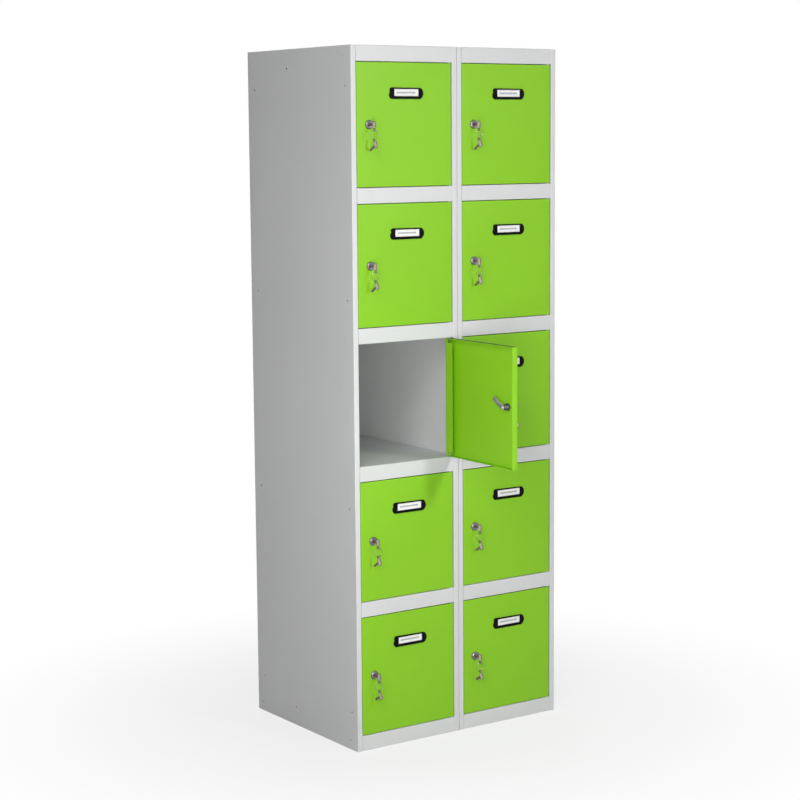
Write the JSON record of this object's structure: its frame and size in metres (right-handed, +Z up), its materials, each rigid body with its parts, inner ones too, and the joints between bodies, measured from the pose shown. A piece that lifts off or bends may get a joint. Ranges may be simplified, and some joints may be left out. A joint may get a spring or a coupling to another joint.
{
  "type": "locker cabinet",
  "caption": "Free-standing steel locker cabinet with two columns of hinged lime-green doors, each with a cam lock, a key in it, a spare key on a ring and a label holder.",
  "frame": {"origin": "on the floor, at the centre of the cabinet's footprint, which leaves out the open door", "axes": "+X to the viewer's right along the front, +Y to the back, +Z up"},
  "size_m": [0.6516, 0.7791, 1.8],
  "materials": {
    "grey_steel": "smooth powder coat, light grey",
    "green_steel": "smooth powder coat, lime green",
    "black_plastic": "moulded, black, with a white card behind the window",
    "lock_chrome": "bright plated",
    "key_nickel": "nickel plated",
    "zinc_steel": "zinc plated",
    "white_nylon": "moulded, white"
  },
  "bodies": {
    "cabinet": {"left_side_panel": "grey_steel", "right_side_panel": "grey_steel", "centre_walls": "grey_steel", "back_panels": "grey_steel", "top_panels": "grey_steel", "floor_panels": "grey_steel", "shelves": "grey_steel", "carcass_fasteners": "zinc_steel", "hinge_pins": "zinc_steel", "hinge_bushes": "white_nylon"},
    "left_1_door": {"left_1_door": "green_steel", "left_1_label_holder": "black_plastic", "left_1_lock_body": "lock_chrome"},
    "left_1_lock": {"left_1_lock_core": "lock_chrome"},
    "left_1_keys": {"left_1_key_ring": "key_nickel"},
    "left_2_door": {"left_2_door": "green_steel", "left_2_label_holder": "black_plastic", "left_2_lock_body": "lock_chrome"},
    "left_2_lock": {"left_2_lock_core": "lock_chrome"},
    "left_2_keys": {"left_2_key_ring": "key_nickel"},
    "left_3_door": {"left_3_door": "green_steel", "left_3_label_holder": "black_plastic", "left_3_lock_body": "lock_chrome"},
    "left_3_lock": {"left_3_lock_core": "lock_chrome"},
    "left_3_keys": {"left_3_key_ring": "key_nickel"},
    "left_4_door": {"left_4_door": "green_steel", "left_4_label_holder": "black_plastic", "left_4_lock_body": "lock_chrome"},
    "left_4_lock": {"left_4_lock_core": "lock_chrome"},
    "left_4_keys": {"left_4_key_ring": "key_nickel"},
    "left_5_door": {"left_5_door": "green_steel", "left_5_label_holder": "black_plastic", "left_5_lock_body": "lock_chrome"},
    "left_5_lock": {"left_5_lock_core": "lock_chrome"},
    "left_5_keys": {"left_5_key_ring": "key_nickel"},
    "right_1_door": {"right_1_door": "green_steel", "right_1_label_holder": "black_plastic", "right_1_lock_body": "lock_chrome"},
    "right_1_lock": {"right_1_lock_core": "lock_chrome"},
    "right_1_keys": {"right_1_key_ring": "key_nickel"},
    "right_2_door": {"right_2_door": "green_steel", "right_2_label_holder": "black_plastic", "right_2_lock_body": "lock_chrome"},
    "right_2_lock": {"right_2_lock_core": "lock_chrome"},
    "right_2_keys": {"right_2_key_ring": "key_nickel"},
    "right_3_door": {"right_3_door": "green_steel", "right_3_label_holder": "black_plastic", "right_3_lock_body": "lock_chrome"},
    "right_3_lock": {"right_3_lock_core": "lock_chrome"},
    "right_3_keys": {"right_3_key_ring": "key_nickel"},
    "right_4_door": {"right_4_door": "green_steel", "right_4_label_holder": "black_plastic", "right_4_lock_body": "lock_chrome"},
    "right_4_lock": {"right_4_lock_core": "lock_chrome"},
    "right_4_keys": {"right_4_key_ring": "key_nickel"},
    "right_5_door": {"right_5_door": "green_steel", "right_5_label_holder": "black_plastic", "right_5_lock_body": "lock_chrome"},
    "right_5_lock": {"right_5_lock_core": "lock_chrome"},
    "right_5_keys": {"right_5_key_ring": "key_nickel"}
  },
  "joints": [
    {"name": "left_1_door_hinge", "type": "hinge", "parent": "cabinet", "child": "left_1_door", "pos_m": [-0.0228, -0.2435, 1.44925], "axis": [0, 0, 1], "range_deg": [0, 110]},
    {"name": "left_1_lock_turn", "type": "hinge", "parent": "left_1_door", "child": "left_1_lock", "pos_m": [-0.2714, -0.2435, 1.60425], "axis": [0, -1, 0], "range_deg": [0, 180]},
    {"name": "left_1_ring_swing", "type": "hinge", "parent": "left_1_lock", "child": "left_1_keys", "pos_m": [-0.2714, -0.27175, 1.59], "axis": [-1, 0, 0], "range_deg": [0, 150]},
    {"name": "left_2_door_hinge", "type": "hinge", "parent": "cabinet", "child": "left_2_door", "pos_m": [-0.0228, -0.2435, 1.09725], "axis": [0, 0, 1], "range_deg": [0, 110]},
    {"name": "left_2_lock_turn", "type": "hinge", "parent": "left_2_door", "child": "left_2_lock", "pos_m": [-0.2714, -0.2435, 1.25225], "axis": [0, -1, 0], "range_deg": [0, 180]},
    {"name": "left_2_ring_swing", "type": "hinge", "parent": "left_2_lock", "child": "left_2_keys", "pos_m": [-0.2714, -0.27175, 1.238], "axis": [-1, 0, 0], "range_deg": [0, 150]},
    {"name": "left_3_door_hinge", "type": "hinge", "parent": "cabinet", "child": "left_3_door", "pos_m": [-0.0228, -0.2435, 0.74525], "axis": [0, 0, 1], "range_deg": [-89, 21]},
    {"name": "left_3_lock_turn", "type": "hinge", "parent": "left_3_door", "child": "left_3_lock", "pos_m": [-0.02714, -0.49206, 0.90025], "axis": [0.9998, -0.0175, 0], "range_deg": [-29, 151]},
    {"name": "left_3_ring_swing", "type": "hinge", "parent": "left_3_lock", "child": "left_3_keys", "pos_m": [0.00121, -0.48635, 0.8884], "axis": [-0.0175, -0.9998, 0], "range_deg": [0, 150]},
    {"name": "left_4_door_hinge", "type": "hinge", "parent": "cabinet", "child": "left_4_door", "pos_m": [-0.0228, -0.2435, 0.39325], "axis": [0, 0, 1], "range_deg": [0, 110]},
    {"name": "left_4_lock_turn", "type": "hinge", "parent": "left_4_door", "child": "left_4_lock", "pos_m": [-0.2714, -0.2435, 0.54825], "axis": [0, -1, 0], "range_deg": [0, 180]},
    {"name": "left_4_ring_swing", "type": "hinge", "parent": "left_4_lock", "child": "left_4_keys", "pos_m": [-0.2714, -0.27175, 0.534], "axis": [-1, 0, 0], "range_deg": [0, 150]},
    {"name": "left_5_door_hinge", "type": "hinge", "parent": "cabinet", "child": "left_5_door", "pos_m": [-0.0228, -0.2435, 0.04125], "axis": [0, 0, 1], "range_deg": [0, 110]},
    {"name": "left_5_lock_turn", "type": "hinge", "parent": "left_5_door", "child": "left_5_lock", "pos_m": [-0.2714, -0.2435, 0.19625], "axis": [0, -1, 0], "range_deg": [0, 180]},
    {"name": "left_5_ring_swing", "type": "hinge", "parent": "left_5_lock", "child": "left_5_keys", "pos_m": [-0.2714, -0.27175, 0.182], "axis": [-1, 0, 0], "range_deg": [0, 150]},
    {"name": "right_1_door_hinge", "type": "hinge", "parent": "cabinet", "child": "right_1_door", "pos_m": [0.3022, -0.2435, 1.44925], "axis": [0, 0, 1], "range_deg": [0, 110]},
    {"name": "right_1_lock_turn", "type": "hinge", "parent": "right_1_door", "child": "right_1_lock", "pos_m": [0.0536, -0.2435, 1.60425], "axis": [0, -1, 0], "range_deg": [0, 180]},
    {"name": "right_1_ring_swing", "type": "hinge", "parent": "right_1_lock", "child": "right_1_keys", "pos_m": [0.0536, -0.27175, 1.59], "axis": [-1, 0, 0], "range_deg": [0, 150]},
    {"name": "right_2_door_hinge", "type": "hinge", "parent": "cabinet", "child": "right_2_door", "pos_m": [0.3022, -0.2435, 1.09725], "axis": [0, 0, 1], "range_deg": [0, 110]},
    {"name": "right_2_lock_turn", "type": "hinge", "parent": "right_2_door", "child": "right_2_lock", "pos_m": [0.0536, -0.2435, 1.25225], "axis": [0, -1, 0], "range_deg": [0, 180]},
    {"name": "right_2_ring_swing", "type": "hinge", "parent": "right_2_lock", "child": "right_2_keys", "pos_m": [0.0536, -0.27175, 1.238], "axis": [-1, 0, 0], "range_deg": [0, 150]},
    {"name": "right_3_door_hinge", "type": "hinge", "parent": "cabinet", "child": "right_3_door", "pos_m": [0.3022, -0.2435, 0.74525], "axis": [0, 0, 1], "range_deg": [0, 110]},
    {"name": "right_3_lock_turn", "type": "hinge", "parent": "right_3_door", "child": "right_3_lock", "pos_m": [0.0536, -0.2435, 0.90025], "axis": [0, -1, 0], "range_deg": [0, 180]},
    {"name": "right_3_ring_swing", "type": "hinge", "parent": "right_3_lock", "child": "right_3_keys", "pos_m": [0.0536, -0.27175, 0.886], "axis": [-1, 0, 0], "range_deg": [0, 150]},
    {"name": "right_4_door_hinge", "type": "hinge", "parent": "cabinet", "child": "right_4_door", "pos_m": [0.3022, -0.2435, 0.39325], "axis": [0, 0, 1], "range_deg": [0, 110]},
    {"name": "right_4_lock_turn", "type": "hinge", "parent": "right_4_door", "child": "right_4_lock", "pos_m": [0.0536, -0.2435, 0.54825], "axis": [0, -1, 0], "range_deg": [0, 180]},
    {"name": "right_4_ring_swing", "type": "hinge", "parent": "right_4_lock", "child": "right_4_keys", "pos_m": [0.0536, -0.27175, 0.534], "axis": [-1, 0, 0], "range_deg": [0, 150]},
    {"name": "right_5_door_hinge", "type": "hinge", "parent": "cabinet", "child": "right_5_door", "pos_m": [0.3022, -0.2435, 0.04125], "axis": [0, 0, 1], "range_deg": [0, 110]},
    {"name": "right_5_lock_turn", "type": "hinge", "parent": "right_5_door", "child": "right_5_lock", "pos_m": [0.0536, -0.2435, 0.19625], "axis": [0, -1, 0], "range_deg": [0, 180]},
    {"name": "right_5_ring_swing", "type": "hinge", "parent": "right_5_lock", "child": "right_5_keys", "pos_m": [0.0536, -0.27175, 0.182], "axis": [-1, 0, 0], "range_deg": [0, 150]}
  ]
}
